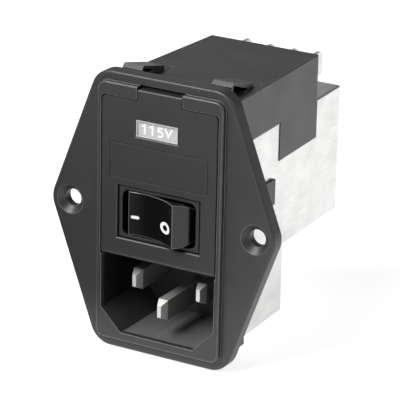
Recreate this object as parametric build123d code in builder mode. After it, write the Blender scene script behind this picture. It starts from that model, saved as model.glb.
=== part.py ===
from build123d import *
import os
from math import atan2, cos, radians, sin, sqrt, tan

# Filtered mains inlet module. Millimetres, +Z up. The origin lies midway between the two flange
# screws, on the rear seating face of the flange. The module faces -Y, and its can points to +Y.

# Flange and its screws
SCREW_SPACING = 40.0
SCREW_HOLE_D = 3.4
SCREW_SINK_D = 5.8
SCREW_SINK_ANGLE = 90.0
FLANGE_T = 2.8
FLANGE_TOP_Z = 27.0
FLANGE_BOTTOM_Z = -28.0
FLANGE_TIP_X = 24.45
FLANGE_SHOULDER_X = 14.2
FLANGE_TIP_R = 5.0
FLANGE_SHOULDER_R = 4.5
FLANGE_EDGE_R = 0.5

# Raised frame on the flange, round the door and the inlet
FRAME_X = 13.45
FRAME_TOP_Z = 25.2
FRAME_BOTTOM_Z = -25.95
FRAME_PROUD = 1.1
FRAME_CORNER_R = 1.8
FRAME_WALL = 0.85
FRAME_EDGE_C = 0.2

# Moulded body behind the flange
BODY_SIDE_X = 13.85
BODY_TAPER = 0.053
BODY_TOP_Z = 24.35
BODY_WALL = 1.0
BODY_EDGE_C = 0.2
NECK_BOTTOM_Z = -25.2
NECK_DEPTH = 6.0
TOP_BODY_FLOOR_Z = 15.25
TOP_BODY_DEPTH = 35.9
DECK_T = 2.2
SKIRT_BOTTOM_Z = 7.5
SKIRT_FRONT_Y = 19.4
SNAP_ARM_END_Y = 17.0
SNAP_ARM_LOW_Z = -0.4
SNAP_ARM_HIGH_Z = 4.7
SNAP_ARM_T = 0.6
SNAP_ARM_GAP = 0.05

# Panel latches on top of the body
LATCH_INNER_X = 7.45
LATCH_WIDTH = 4.25
LATCH_FRONT_Y = 2.1
LATCH_FRONT_H = 2.1
LATCH_CREST_Y = 2.85
LATCH_CREST_H = 2.75
LATCH_REAR_Y = 10.2
LATCH_REAR_H = 1.0
LATCH_SKIN = 0.5
LATCH_FRONT_WALL = 0.5
LATCH_HOLLOW_REAR_Y = 9.0
LATCH_WEB = 0.8
LATCH_SILL_H = 1.0
LATCH_EYE_REAR_Y = 6.1
LATCH_SLIT = 0.3
LATCH_SLIT_FRONT_Y = 6.6
LATCH_SLIT_REAR_Y = 13.0
LATCH_SLIT_DEPTH = 1.2

# Inlet
INLET_X = 12.35
INLET_TOP_Z = -8.9
INLET_HEIGHT = 15.45
INLET_BEVEL = 4.5
INLET_DEPTH = 15.75
INLET_DRAFT = 0.9
INLET_WALL = 0.45
INLET_BACK_T = 1.2
INLET_ROOF_T = 1.2
PIN_SPACING = 14.0
PIN_DROP = 4.0
PIN_W = 2.0
PIN_H = 4.0
PIN_TIP_W = 0.8
PIN_TIP_H = 2.3
PIN_TIP_LENGTH = 1.6
PIN_TAIL = 5.0
PIN_RECESS = 3.4
EARTH_RECESS = 1.0

# Door
DOOR_T = 1.9
DOOR_SIDE_GAP = 0.3
DOOR_TOP_Z = 22.5
DOOR_TOP_GAP = 0.2
DOOR_BACK_GAP = 0.1
DOOR_CORNER_R = 0.8
DOOR_EDGE_C = 0.2
TAB_HALF_W = 4.7
TAB_TOP_Z = 24.65
TAB_GAP = 0.2
PRY_SLOT_H = 0.75
PRY_SLOT_DEPTH = 1.2
HINGE_PIN_R = 0.6
HINGE_PIN_LENGTH = 0.8
HINGE_PIN_GAP = 0.06
HINGE_RELIEF_GAP = 0.2
WINDOW_MID_X = -0.52
WINDOW_HALF_W = 4.55
WINDOW_LOW_Z = 15.53
WINDOW_H = 3.38
CUTOUT_HALF_W = 8.95
CUTOUT_LOW_Z = -5.05
CUTOUT_H = 10.5
BOX_HALF_W = 10.65
BOX_LOW_Z = 6.9
BOX_H = 6.95
BOX_LINE_W = 0.22
BOX_LINE_DEPTH = 0.12

# Fuse and voltage bay
FUSE_R = 2.6
FUSE_LENGTH = 20.0
FUSE_X = 8.5
FUSE_Z = 19.35
FUSE_FRONT_Y = 2.5
FUSE_CAP_LENGTH = 5.0
FUSE_CAP_T = 0.25
FUSE_GLASS_T = 0.45
FUSE_WIRE_R = 0.12
FUSE_REST_GAP = 0.03
BAY_HALF_W = 11.3
BAY_FLOOR_Z = 15.95
BAY_ROOF_Z = 22.45
BAY_REAR_WALL = 1.1
DRAWER_GAP = 0.1
DRAWER_PLATE_HALF_W = 12.0
DRAWER_PLATE_LOW_Z = 14.7
DRAWER_PLATE_T = 1.0
DRAWER_WALL = 0.5
DRAWER_WALL_TOP_Z = 21.4
DRAWER_STOP_T = 0.7
FUSE_END_GAP = 0.3
NAIL_NOTCH_HALF_W = 3.0
NAIL_NOTCH_H = 1.2
PLUG_HALF_W = 4.9
PLUG_TOP_Z = 21.6
PLUG_REAR_GAP = 0.9
PLUG_TAG_GAP = 0.12
PLUG_TAG_RECESS = 0.45
PLUG_COLLAR = 0.3
PLUG_STRIP_W = 1.2
PLUG_STRIP_T = 0.4
PLUG_STRIP_FRONT_Y = 8.0
CLIP_W = 3.0
CLIP_T = 0.3
CLIP_HALF_L = 1.8
CLIP_TAIL_Z = 12.6

# Rear blades
BLADE_PITCH = 5.3
BLADE_T = 0.8
BLADE_H = 4.8
BLADE_TOP_Z = 22.0
OUTER_BLADE_RISE = 0.3
BLADE_FRONT_GAP = 3.0
BLADE_REACH = 8.6
BLADE_TIP_C = 0.8
BLADE_EYE_D = 1.4
BLADE_EYE_INSET = 3.2
CONTACT_GAP = 0.05

# Switch
SWITCH_Z = 0.2
BEZEL_HALF_W = 8.6
BEZEL_HALF_H = 5.0
BEZEL_RECESS = 0.4
BEZEL_RIM_X = 0.63
BEZEL_RIM_Z = 0.5
BEZEL_MOUTH_R = 1.4
SWITCH_LIP = 1.0
SWITCH_LIP_T = 0.9
SWITCH_REAR_Y = 11.0
SWITCH_REAR_T = 1.2
SWITCH_GAP = 0.1
SWITCH_RIB_T = 1.0
SWITCH_RIB_FRONT_Y = 4.2
ROCKER_PIVOT_Y = 0.5
ROCKER_END_R = 7.72
ROCKER_TIP_X = 5.5
ROCKER_DISH_Y = -4.2
ROCKER_SKIRT_Y = 1.2
ROCKER_SIDE_GAP = 0.25
ROCKER_CORNER_R = 1.8
ROCKER_TILT = 12.0
ROCKER_WALL = 1.2
TRUNNION_R = 0.8
TRUNNION_LENGTH = 0.65
TRUNNION_GAP = 0.06
POLE_OFFSET = 2.2
PLUNGER_R = 0.8
PLUNGER_TIP_Y = 4.4
PLUNGER_LENGTH = 4.6
PLUNGER_GAP = 0.05
PLUNGER_TUBE_T = 0.55
PLUNGER_TUBE_Y = 1.6
SPRING_WIRE_R = 0.14
SPRING_R = 0.58
SPRING_TURNS = 4
SPRING_STEPS = 8
SPRING_LENGTH = 2.0
LEVER_AXIS_Y = 5.4
LEVER_T = 0.4
LEVER_W = 2.6
LEVER_HALF = 5.4
LEVER_BEND = 8.0
LEVER_TILT = 10.0
BUTTON_R = 1.0
BUTTON_T = 0.35
BUTTON_X = 4.4
BUTTON_GAP = 0.06
TERMINAL_T = 0.6
TERMINAL_W = 2.2
TERMINAL_END_Y = 14.0
TERMINAL_REST_GAP = 0.08

# Filter can
CAN_SIDE_X = 13.52
CAN_TAPER = 0.045
CAN_WALL = 0.3
CAN_TOP_Z = 15.2
CAN_STEP_Z = -10.6
CAN_BOTTOM_Z = -24.2
CAN_REAR_Y = 46.8
CAN_STEP_Y = 22.5
CAN_EDGE_C = 0.3
CAN_NOTCH_GAP = 0.1
CAN_FLOOR_NOTCH_X = 9.0

# Filter inside the can
BOARD_T = 1.2
BOARD_SIDE_GAP = 0.75
BOARD_FRONT_Y = 19.4
BOARD_REAR_GAP = 0.7
BOARD_STANDOFF = 0.7
CORE_R = 9.5
CORE_BORE_R = 5.0
CORE_FRONT_Y = 22.2
CORE_REAR_GAP = 3.05
CORE_LIFT = 0.3
WINDING_T = 0.8
WINDING_ARC = 110.0
XCAP_W = 18.0
XCAP_T = 7.5
XCAP_H = 14.0
XCAP_REAR_GAP = 1.75
XCAP_EDGE_R = 0.8
YCAP_R = 3.2
YCAP_T = 2.4
YCAP_X = 3.6
YCAP_Y = 17.6
YCAP_Z = -16.6
COMPONENT_LEAD_R = 0.3
RESISTOR_R = 1.15
RESISTOR_LENGTH = 6.2
RESISTOR_REAR_GAP = 1.7
RESISTOR_LIFT = 0.3
RESISTOR_LEAD_SPAN = 9.4
WIRE_R = 0.55
WIRE_SIDES = 6
PIN_LEAD_REACH = 2.4
SWITCH_LEAD_REACH = 1.8
SWITCH_LEAD_X = 3.5
SWITCH_LEAD_RISE = 2.5
SWITCH_LEAD_INSET = 0.9
FUSE_LEAD_REACH = {"right": 2.4, "left": 3.6}
FUSE_LEAD_X = 6.5
FUSE_LEAD_DROP = 2.0

# Earth parts
EARTH_BLADE_W = 6.3
EARTH_BLADE_T = 0.8
EARTH_BLADE_LENGTH = 8.5
EARTH_BLADE_Z = 2.0
EARTH_FOOT_H = 5.0
EARTH_EYE_D = 1.8
STRAP_T = 0.5
STRAP_HALF_W = 2.1
STRAP_Y = 16.6
STRAP_FOOT_L = 4.5

# Places worked out from the sizes above
FACE_Y = -FLANGE_T - FRAME_PROUD
RECESS_HALF_W = FRAME_X - FRAME_WALL
DOOR_HALF_W = RECESS_HALF_W - DOOR_SIDE_GAP
DOOR_BACK_Y = FACE_Y + DOOR_T
DECK_Y = DOOR_BACK_Y + DOOR_BACK_GAP
HINGE_Y = FACE_Y + DOOR_T / 2
HINGE_Z = INLET_TOP_Z + DOOR_T / 2
CUTOUT_MID_Z = CUTOUT_LOW_Z + CUTOUT_H / 2
WINDOW_MID_Z = WINDOW_LOW_Z + WINDOW_H / 2
INLET_BACK_Y = FACE_Y + INLET_DEPTH
INLET_MID_Z = INLET_TOP_Z - INLET_HEIGHT / 2
PIN_Z = INLET_MID_Z + PIN_DROP / 2
EARTH_PIN_Z = INLET_MID_Z - PIN_DROP / 2
PIN_REAR_Y = INLET_BACK_Y + INLET_BACK_T + PIN_TAIL
BAY_REAR_Y = TOP_BODY_DEPTH - BAY_REAR_WALL
BAY_FRONT_Y = DECK_Y + DRAWER_PLATE_T
DRAWER_FLOOR_TOP_Z = FUSE_Z - FUSE_R - FUSE_REST_GAP
FUSE_REAR_Y = FUSE_FRONT_Y + FUSE_LENGTH
DRAWER_REAR_Y = FUSE_REAR_Y + FUSE_END_GAP + DRAWER_STOP_T
PLUG_REAR_Y = DRAWER_REAR_Y - PLUG_REAR_GAP
BLADE_FRONT_Y = DRAWER_REAR_Y + BLADE_FRONT_GAP
BLADE_END_Y = TOP_BODY_DEPTH + BLADE_REACH
CLIP_FRONT_Y = FUSE_FRONT_Y + FUSE_CAP_LENGTH / 2
CLIP_REAR_Y = FUSE_REAR_Y - FUSE_CAP_LENGTH / 2
BEZEL_Y = FACE_Y + BEZEL_RECESS
MOUTH_HALF_W = BEZEL_HALF_W - BEZEL_RIM_X
MOUTH_HALF_H = BEZEL_HALF_H - BEZEL_RIM_Z
ROCKER_HALF_H = MOUTH_HALF_H - ROCKER_SIDE_GAP
SWITCH_FLOOR_Y = SWITCH_REAR_Y - SWITCH_REAR_T
CAN_FRONT_Y = NECK_DEPTH
BOARD_LOW_Z = CAN_STEP_Z + CAN_WALL + BOARD_STANDOFF
BOARD_TOP_Z = BOARD_LOW_Z + BOARD_T
CORE_Z = BOARD_TOP_Z + CORE_R + CORE_LIFT
BLADE_X = [BLADE_PITCH * (i - 1.5) for i in range(4)]
BLADE_HIGH = [BLADE_TOP_Z + rise for rise in (OUTER_BLADE_RISE, 0, 0, OUTER_BLADE_RISE)]
BOARD_REAR_Y = CAN_REAR_Y - CAN_WALL - BOARD_REAR_GAP
XCAP_Y = CAN_REAR_Y - CAN_WALL - XCAP_REAR_GAP - XCAP_T / 2
RESISTOR_Y = XCAP_Y - XCAP_T / 2 - RESISTOR_REAR_GAP - RESISTOR_R
CORE_T = RESISTOR_Y - RESISTOR_R - CORE_REAR_GAP - CORE_FRONT_Y
CORE_Y = CORE_FRONT_Y + CORE_T / 2
POLES = {"upper": SWITCH_Z + POLE_OFFSET, "lower": SWITCH_Z - POLE_OFFSET}
SIDES = {"left": -1, "right": 1}


def facing_rear(y):
    """Sketch plane at depth y that grows towards +Y, with +Z upwards in the sketch."""
    return Plane(origin=(0, y, 0), x_dir=(-1, 0, 0), z_dir=(0, 1, 0))


def facing_side(x):
    """Sketch plane at width x that grows towards +X: the sketch runs along Y and Z."""
    return Plane(origin=(x, 0, 0), x_dir=(0, 1, 0), z_dir=(1, 0, 0))


def block(x, y, z, mode=Mode.ADD):
    """A block in the part being built, given by its two ends on each axis."""
    with Locations((sum(x) / 2, sum(y) / 2, sum(z) / 2)):
        Box(x[1] - x[0], y[1] - y[0], z[1] - z[0], mode=mode)


def about(middle, half):
    """The two ends of a span, from its middle and half its size."""
    return middle - half, middle + half


def body_x(y):
    """Half width of the moulded body at depth y, narrower towards the rear."""
    return BODY_SIDE_X - BODY_TAPER * y


def can_x(y):
    """Half width of the drawn can at depth y, narrower towards its closed end."""
    return CAN_SIDE_X - CAN_TAPER * y


def plan(half_width, y0, y1, inset=0.0, mode=Mode.ADD):
    """Top view outline between two depths, with the sides given by a half width rule."""
    front, rear = half_width(y0) - inset, half_width(y1) - inset
    Polygon((-front, y0), (front, y0), (rear, y1), (-rear, y1), align=None, mode=mode)


def inlet_outline(grow):
    """Outline of the inlet opening, grown by a wall: a box with both lower corners bevelled."""
    half = INLET_X + grow
    high = INLET_TOP_Z + grow
    low = INLET_TOP_Z - INLET_HEIGHT - grow
    cut = INLET_BEVEL + grow * (2 - sqrt(2))
    with BuildLine() as outline:
        Polyline((-half, high), (half, high), (half, low + cut), (half - cut, low),
                 (cut - half, low), (-half, low + cut), close=True)
    make_face(outline.edges())


def write(part, name):
    """Label a finished piece and write it as one STEP file."""
    part.label = name
    export_step(part, f"parts/{name}.step")


os.makedirs("parts", exist_ok=True)

# Inlet housing: flange, raised frame, inlet shroud and fuse bay in one black moulding
with BuildPart() as housing:
    # Flange plate with eased front edge
    with BuildSketch(Plane.XZ) as flange_outline:
        with BuildLine():
            Polyline((-FLANGE_SHOULDER_X, FLANGE_TOP_Z), (FLANGE_SHOULDER_X, FLANGE_TOP_Z),
                     (FLANGE_TIP_X, 0), (FLANGE_SHOULDER_X, FLANGE_BOTTOM_Z),
                     (-FLANGE_SHOULDER_X, FLANGE_BOTTOM_Z), (-FLANGE_TIP_X, 0), close=True)
        make_face()
        fillet(flange_outline.vertices().group_by(Axis.Y)[1], FLANGE_TIP_R)
        shoulders = flange_outline.vertices().group_by(Axis.Y)
        fillet(shoulders[0] + shoulders[-1], FLANGE_SHOULDER_R)
    extrude(amount=FLANGE_T)
    fillet(housing.faces().sort_by(Axis.Y)[0].edges(), FLANGE_EDGE_R)

    # Raised frame
    with BuildSketch(Plane.XZ.offset(FLANGE_T)):
        with Locations((0, (FRAME_TOP_Z + FRAME_BOTTOM_Z) / 2)):
            RectangleRounded(2 * FRAME_X, FRAME_TOP_Z - FRAME_BOTTOM_Z, FRAME_CORNER_R)
    extrude(amount=FRAME_PROUD)
    chamfer(housing.faces().sort_by(Axis.Y)[0].edges(), FRAME_EDGE_C)

    # Neck through the panel, top body behind it, and the skirts in the notches of the can
    with BuildSketch(Plane.XY.offset(NECK_BOTTOM_Z)):
        plan(body_x, 0, NECK_DEPTH)
    extrude(amount=BODY_TOP_Z - NECK_BOTTOM_Z)
    with BuildSketch(Plane.XY.offset(TOP_BODY_FLOOR_Z)):
        plan(body_x, NECK_DEPTH, TOP_BODY_DEPTH)
    extrude(amount=BODY_TOP_Z - TOP_BODY_FLOOR_Z)
    with BuildSketch(Plane.XY.offset(SKIRT_BOTTOM_Z)):
        plan(body_x, SKIRT_FRONT_Y, TOP_BODY_DEPTH)
        plan(body_x, SKIRT_FRONT_Y, TOP_BODY_DEPTH, inset=BODY_WALL, mode=Mode.SUBTRACT)
    extrude(amount=TOP_BODY_FLOOR_Z - SKIRT_BOTTOM_Z)
    top_edges = housing.edges().filter_by(lambda edge: edge.center().Z > BODY_TOP_Z - BODY_EDGE_C
                                          and edge.center().Y > 0 and edge.center().Z < FRAME_TOP_Z)
    rear_corners = housing.edges().filter_by(Axis.Z).group_by(Axis.Y)[-1].filter_by(
        lambda edge: abs(edge.center().X) > body_x(TOP_BODY_DEPTH) - BODY_EDGE_C)
    chamfer(top_edges + rear_corners, BODY_EDGE_C)

    # Snap arms along the sides of the can
    with BuildSketch(Plane.XY.offset(SNAP_ARM_LOW_Z)) as arms:
        root = can_x(NECK_DEPTH) + SNAP_ARM_GAP
        end = can_x(SNAP_ARM_END_Y) + SNAP_ARM_GAP
        Polygon((root, NECK_DEPTH), (body_x(NECK_DEPTH), NECK_DEPTH),
                (end + SNAP_ARM_T, SNAP_ARM_END_Y), (end, SNAP_ARM_END_Y), align=None)
        mirror(about=Plane.YZ)
    extrude(amount=SNAP_ARM_HIGH_Z - SNAP_ARM_LOW_Z)

    # Panel latches: ramps that are hollow from their outer side, with an eye through the inner web
    # and a slit on both sides
    crest_z = BODY_TOP_Z + LATCH_CREST_H
    hollow_top = crest_z - LATCH_SKIN
    sill_z = BODY_TOP_Z + LATCH_SILL_H
    for side in (-1, 1):
        with BuildSketch(facing_side(side * (LATCH_INNER_X + LATCH_WIDTH / 2))):
            Polygon((LATCH_FRONT_Y, BODY_TOP_Z), (LATCH_FRONT_Y, BODY_TOP_Z + LATCH_FRONT_H),
                    (LATCH_CREST_Y, crest_z), (LATCH_REAR_Y, BODY_TOP_Z + LATCH_REAR_H),
                    (LATCH_REAR_Y, BODY_TOP_Z), align=None)
        extrude(amount=LATCH_WIDTH / 2, both=True)
        hollow_front = LATCH_FRONT_Y + LATCH_FRONT_WALL
        with BuildSketch(facing_side(side * (LATCH_INNER_X + LATCH_WEB))):
            Polygon((hollow_front, BODY_TOP_Z), (hollow_front, sill_z),
                    (LATCH_CREST_Y, hollow_top), (LATCH_HOLLOW_REAR_Y, BODY_TOP_Z), align=None)
        extrude(amount=side * LATCH_WIDTH, mode=Mode.SUBTRACT)
        eye_rear = LATCH_EYE_REAR_Y - LATCH_SKIN
        with BuildSketch(facing_side(side * LATCH_INNER_X)):
            Polygon((hollow_front, sill_z), (LATCH_CREST_Y, hollow_top),
                    (LATCH_EYE_REAR_Y, sill_z + LATCH_SKIN / 2), (eye_rear, sill_z), align=None)
        extrude(amount=side * LATCH_WEB, mode=Mode.SUBTRACT)
        for slit_x in (LATCH_INNER_X - LATCH_SLIT / 2, LATCH_INNER_X + LATCH_WIDTH + LATCH_SLIT / 2):
            block(about(side * slit_x, LATCH_SLIT / 2), (LATCH_SLIT_FRONT_Y, LATCH_SLIT_REAR_Y),
                  (BODY_TOP_Z - LATCH_SLIT_DEPTH, BODY_TOP_Z), Mode.SUBTRACT)

    # Hollow of the neck behind the deck, open towards the can
    block(about(0, body_x(NECK_DEPTH) - BODY_WALL), (DECK_Y + DECK_T, NECK_DEPTH),
          (INLET_TOP_Z + INLET_ROOF_T, TOP_BODY_FLOOR_Z - (BAY_FLOOR_Z - TOP_BODY_FLOOR_Z)),
          Mode.SUBTRACT)

    # Inlet shroud and its drafted opening
    with BuildSketch(facing_rear(0)):
        inlet_outline(INLET_WALL + FACE_Y * tan(radians(INLET_DRAFT)))
    extrude(amount=INLET_BACK_Y + INLET_BACK_T, taper=INLET_DRAFT)
    with BuildSketch(facing_rear(FACE_Y)):
        inlet_outline(0)
    extrude(amount=INLET_DEPTH, taper=INLET_DRAFT, mode=Mode.SUBTRACT)
    for pin_x, pin_z in ((-PIN_SPACING / 2, PIN_Z), (PIN_SPACING / 2, PIN_Z), (0, EARTH_PIN_Z)):
        block(about(pin_x, PIN_W / 2), (INLET_BACK_Y, INLET_BACK_Y + INLET_BACK_T),
              about(pin_z, PIN_H / 2), Mode.SUBTRACT)

    # Door recess, tab recess, pry slot, hinge relief and hinge holes
    recess_z = (INLET_TOP_Z - HINGE_RELIEF_GAP, DOOR_TOP_Z + DOOR_TOP_GAP)
    with BuildSketch(Plane.XZ.offset(-DECK_Y)) as recess:
        with Locations((0, sum(recess_z) / 2)):
            Rectangle(2 * RECESS_HALF_W, recess_z[1] - recess_z[0])
        fillet(recess.vertices().group_by(Axis.Y)[-1], DOOR_CORNER_R)
    extrude(amount=DOOR_T + DOOR_BACK_GAP, mode=Mode.SUBTRACT)
    block(about(0, TAB_HALF_W + TAB_GAP), (FACE_Y, DECK_Y), (DOOR_TOP_Z, TAB_TOP_Z),
          Mode.SUBTRACT)
    block(about(0, TAB_HALF_W + TAB_GAP), (FACE_Y, PRY_SLOT_DEPTH - FLANGE_T),
          (TAB_TOP_Z, TAB_TOP_Z + PRY_SLOT_H), Mode.SUBTRACT)
    with BuildSketch(facing_side(-RECESS_HALF_W)):
        with Locations((HINGE_Y, HINGE_Z)):
            Circle(DOOR_T / 2 + HINGE_RELIEF_GAP)
    extrude(amount=2 * RECESS_HALF_W, mode=Mode.SUBTRACT)
    hole_end = DOOR_HALF_W + HINGE_PIN_LENGTH + HINGE_PIN_GAP
    with BuildSketch(facing_side(-hole_end)):
        with Locations((HINGE_Y, HINGE_Z)):
            Circle(HINGE_PIN_R + HINGE_PIN_GAP)
    extrude(amount=2 * hole_end, mode=Mode.SUBTRACT)

    # Bay for the fuse drawer, with its plate recess, nail notch, clip slots and blade slots
    block(about(0, DRAWER_PLATE_HALF_W + DRAWER_GAP), (DECK_Y, BAY_FRONT_Y),
          (DRAWER_PLATE_LOW_Z - DRAWER_GAP, BAY_ROOF_Z), Mode.SUBTRACT)
    block(about(0, NAIL_NOTCH_HALF_W), (DECK_Y, BAY_FRONT_Y),
          (DRAWER_PLATE_LOW_Z - NAIL_NOTCH_H, DRAWER_PLATE_LOW_Z), Mode.SUBTRACT)
    block(about(0, BAY_HALF_W), (BAY_FRONT_Y, BAY_REAR_Y), (BAY_FLOOR_Z, BAY_ROOF_Z),
          Mode.SUBTRACT)
    tail_y = (CLIP_FRONT_Y - CLIP_HALF_L - CLIP_T, CLIP_FRONT_Y - CLIP_HALF_L)
    for side in (-1, 1):
        block(about(side * FUSE_X, CLIP_W / 2), tail_y, (CLIP_TAIL_Z, BAY_FLOOR_Z),
              Mode.SUBTRACT)
    for blade_x, high_z in zip(BLADE_X, BLADE_HIGH):
        block(about(blade_x, BLADE_T / 2), (BAY_REAR_Y, TOP_BODY_DEPTH),
              (high_z - BLADE_H, high_z), Mode.SUBTRACT)

    # Pocket of the switch, with a seat for its lip
    block(about(0, BEZEL_HALF_W + SWITCH_GAP), (DECK_Y, DECK_Y + DECK_T),
          about(SWITCH_Z, BEZEL_HALF_H + SWITCH_GAP), Mode.SUBTRACT)
    block(about(0, BEZEL_HALF_W + SWITCH_LIP + SWITCH_GAP), (DECK_Y, DECK_Y + SWITCH_LIP_T),
          about(SWITCH_Z, BEZEL_HALF_H + SWITCH_LIP + SWITCH_GAP), Mode.SUBTRACT)

    # Countersunk screw holes
    with Locations(Plane.XZ.offset(FLANGE_T)):
        with GridLocations(SCREW_SPACING, 1, 2, 1):
            CounterSinkHole(SCREW_HOLE_D / 2, SCREW_SINK_D / 2, depth=FLANGE_T,
                            counter_sink_angle=SCREW_SINK_ANGLE)
write(housing.part, "inlet_housing")

# Inlet pins: flat blades with tapered tips, the earth pin lower and further forward
for pin_name, pin_x, pin_z, recess_depth in (("left_pin", -PIN_SPACING / 2, PIN_Z, PIN_RECESS),
                                             ("right_pin", PIN_SPACING / 2, PIN_Z, PIN_RECESS),
                                             ("earth_pin", 0, EARTH_PIN_Z, EARTH_RECESS)):
    tip_y = FACE_Y + recess_depth
    shoulder_y = tip_y + PIN_TIP_LENGTH
    with BuildPart() as pin:
        with BuildSketch(facing_rear(tip_y)):
            with Locations((-pin_x, pin_z)):
                Rectangle(PIN_TIP_W, PIN_TIP_H)
        with BuildSketch(facing_rear(shoulder_y)):
            with Locations((-pin_x, pin_z)):
                Rectangle(PIN_W, PIN_H)
        loft(ruled=True)
        block(about(pin_x, PIN_W / 2), (shoulder_y, PIN_REAR_Y), about(pin_z, PIN_H / 2))
    write(pin.part, pin_name)

# Fuse door: a plate with a round lower edge, a pry tab on top and two moulded hinge pins
with BuildPart() as door:
    with BuildSketch(facing_side(-DOOR_HALF_W)):
        with Locations((HINGE_Y, (HINGE_Z + DOOR_TOP_Z) / 2)):
            Rectangle(DOOR_T, DOOR_TOP_Z - HINGE_Z)
        with Locations((HINGE_Y, HINGE_Z)):
            Circle(DOOR_T / 2)
    extrude(amount=2 * DOOR_HALF_W)
    across = door.edges().filter_by(Axis.Y).group_by(Axis.X)
    fillet(across[0] + across[-1], DOOR_CORNER_R)
    block(about(0, TAB_HALF_W), (FACE_Y, DOOR_BACK_Y), (DOOR_TOP_Z, TAB_TOP_Z))
    tab_edge = door.edges().filter_by(Axis.X).group_by(Axis.Z)[-1].sort_by(Axis.Y)[0]
    chamfer(tab_edge, DOOR_EDGE_C)
    block(about(WINDOW_MID_X, WINDOW_HALF_W), (FACE_Y, DOOR_BACK_Y), (WINDOW_LOW_Z, WINDOW_LOW_Z + WINDOW_H),
          Mode.SUBTRACT)
    block(about(0, CUTOUT_HALF_W), (FACE_Y, DOOR_BACK_Y), (CUTOUT_LOW_Z, CUTOUT_LOW_Z + CUTOUT_H),
          Mode.SUBTRACT)
    openings = door.faces().sort_by(Axis.Y)[0].inner_wires()
    chamfer(openings.edges(), DOOR_EDGE_C)
    with BuildSketch(Plane.XZ.offset(-FACE_Y)):
        with Locations((0, BOX_LOW_Z + BOX_H / 2)):
            Rectangle(2 * BOX_HALF_W, BOX_H)
            Rectangle(2 * (BOX_HALF_W - BOX_LINE_W), BOX_H - 2 * BOX_LINE_W, mode=Mode.SUBTRACT)
    extrude(amount=-BOX_LINE_DEPTH, mode=Mode.SUBTRACT)
    pin_half_span = DOOR_HALF_W + HINGE_PIN_LENGTH
    for side in (-1, 1):
        with BuildSketch(facing_side(min(side * DOOR_HALF_W, side * pin_half_span))):
            with Locations((HINGE_Y, HINGE_Z)):
                Circle(HINGE_PIN_R)
        extrude(amount=HINGE_PIN_LENGTH)
write(door.part, "fuse_door")

# Fuse drawer: front plate with an opening for the voltage tag, floor, two walls and fuse stops
tag_half_w = WINDOW_HALF_W - PLUG_TAG_GAP
tag_half_h = WINDOW_H / 2 - PLUG_TAG_GAP
collar_half_w = tag_half_w + PLUG_COLLAR
collar_half_h = tag_half_h + PLUG_COLLAR
wall_x = (PLUG_HALF_W + DRAWER_GAP, PLUG_HALF_W + DRAWER_GAP + DRAWER_WALL)
with BuildPart() as drawer:
    block(about(0, DRAWER_PLATE_HALF_W), (DECK_Y, BAY_FRONT_Y),
          (DRAWER_PLATE_LOW_Z, BAY_ROOF_Z - DRAWER_GAP))
    block(about(0, BAY_HALF_W - DRAWER_GAP), (BAY_FRONT_Y, DRAWER_REAR_Y),
          (BAY_FLOOR_Z + DRAWER_GAP, DRAWER_FLOOR_TOP_Z))
    block(about(WINDOW_MID_X, collar_half_w + DRAWER_GAP), (DECK_Y, BAY_FRONT_Y),
          about(WINDOW_MID_Z, collar_half_h + DRAWER_GAP), Mode.SUBTRACT)
    for side in (-1, 1):
        wall = sorted(side * x for x in wall_x)
        block(wall, (BAY_FRONT_Y, DRAWER_REAR_Y), (DRAWER_FLOOR_TOP_Z, DRAWER_WALL_TOP_Z))
        stop = sorted((side * wall_x[1], side * FUSE_X))
        block(stop, (DRAWER_REAR_Y - DRAWER_STOP_T, DRAWER_REAR_Y), (DRAWER_FLOOR_TOP_Z, FUSE_Z))
        window_reach = CLIP_HALF_L + CLIP_T + DRAWER_GAP
        for window_y in (about(CLIP_FRONT_Y, window_reach),
                         (CLIP_REAR_Y - window_reach, DRAWER_REAR_Y)):
            block(about(side * FUSE_X, CLIP_W / 2 + DRAWER_GAP), window_y,
                  (BAY_FLOOR_Z, DRAWER_FLOOR_TOP_Z), Mode.SUBTRACT)
write(drawer.part, "fuse_drawer")

# Voltage plug: a light grey insert whose front face is the tag in the door's window
with BuildPart() as plug:
    block(about(WINDOW_MID_X, tag_half_w), (FACE_Y + PLUG_TAG_RECESS, DECK_Y),
          about(WINDOW_MID_Z, tag_half_h))
    block(about(WINDOW_MID_X, collar_half_w), (DECK_Y, BAY_FRONT_Y), about(WINDOW_MID_Z, collar_half_h))
    block(about(0, PLUG_HALF_W), (BAY_FRONT_Y, PLUG_REAR_Y), (DRAWER_FLOOR_TOP_Z, PLUG_TOP_Z))
write(plug.part, "voltage_plug")

# Contact strips on top of the voltage plug, reaching back to the two inner blades
with BuildPart() as strips:
    for blade_x in BLADE_X[1:3]:
        block(about(blade_x, PLUG_STRIP_W / 2), (PLUG_STRIP_FRONT_Y, BLADE_FRONT_Y - CONTACT_GAP),
              (PLUG_TOP_Z, PLUG_TOP_Z + PLUG_STRIP_T))
write(strips.part, "voltage_plug_strips")

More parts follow.
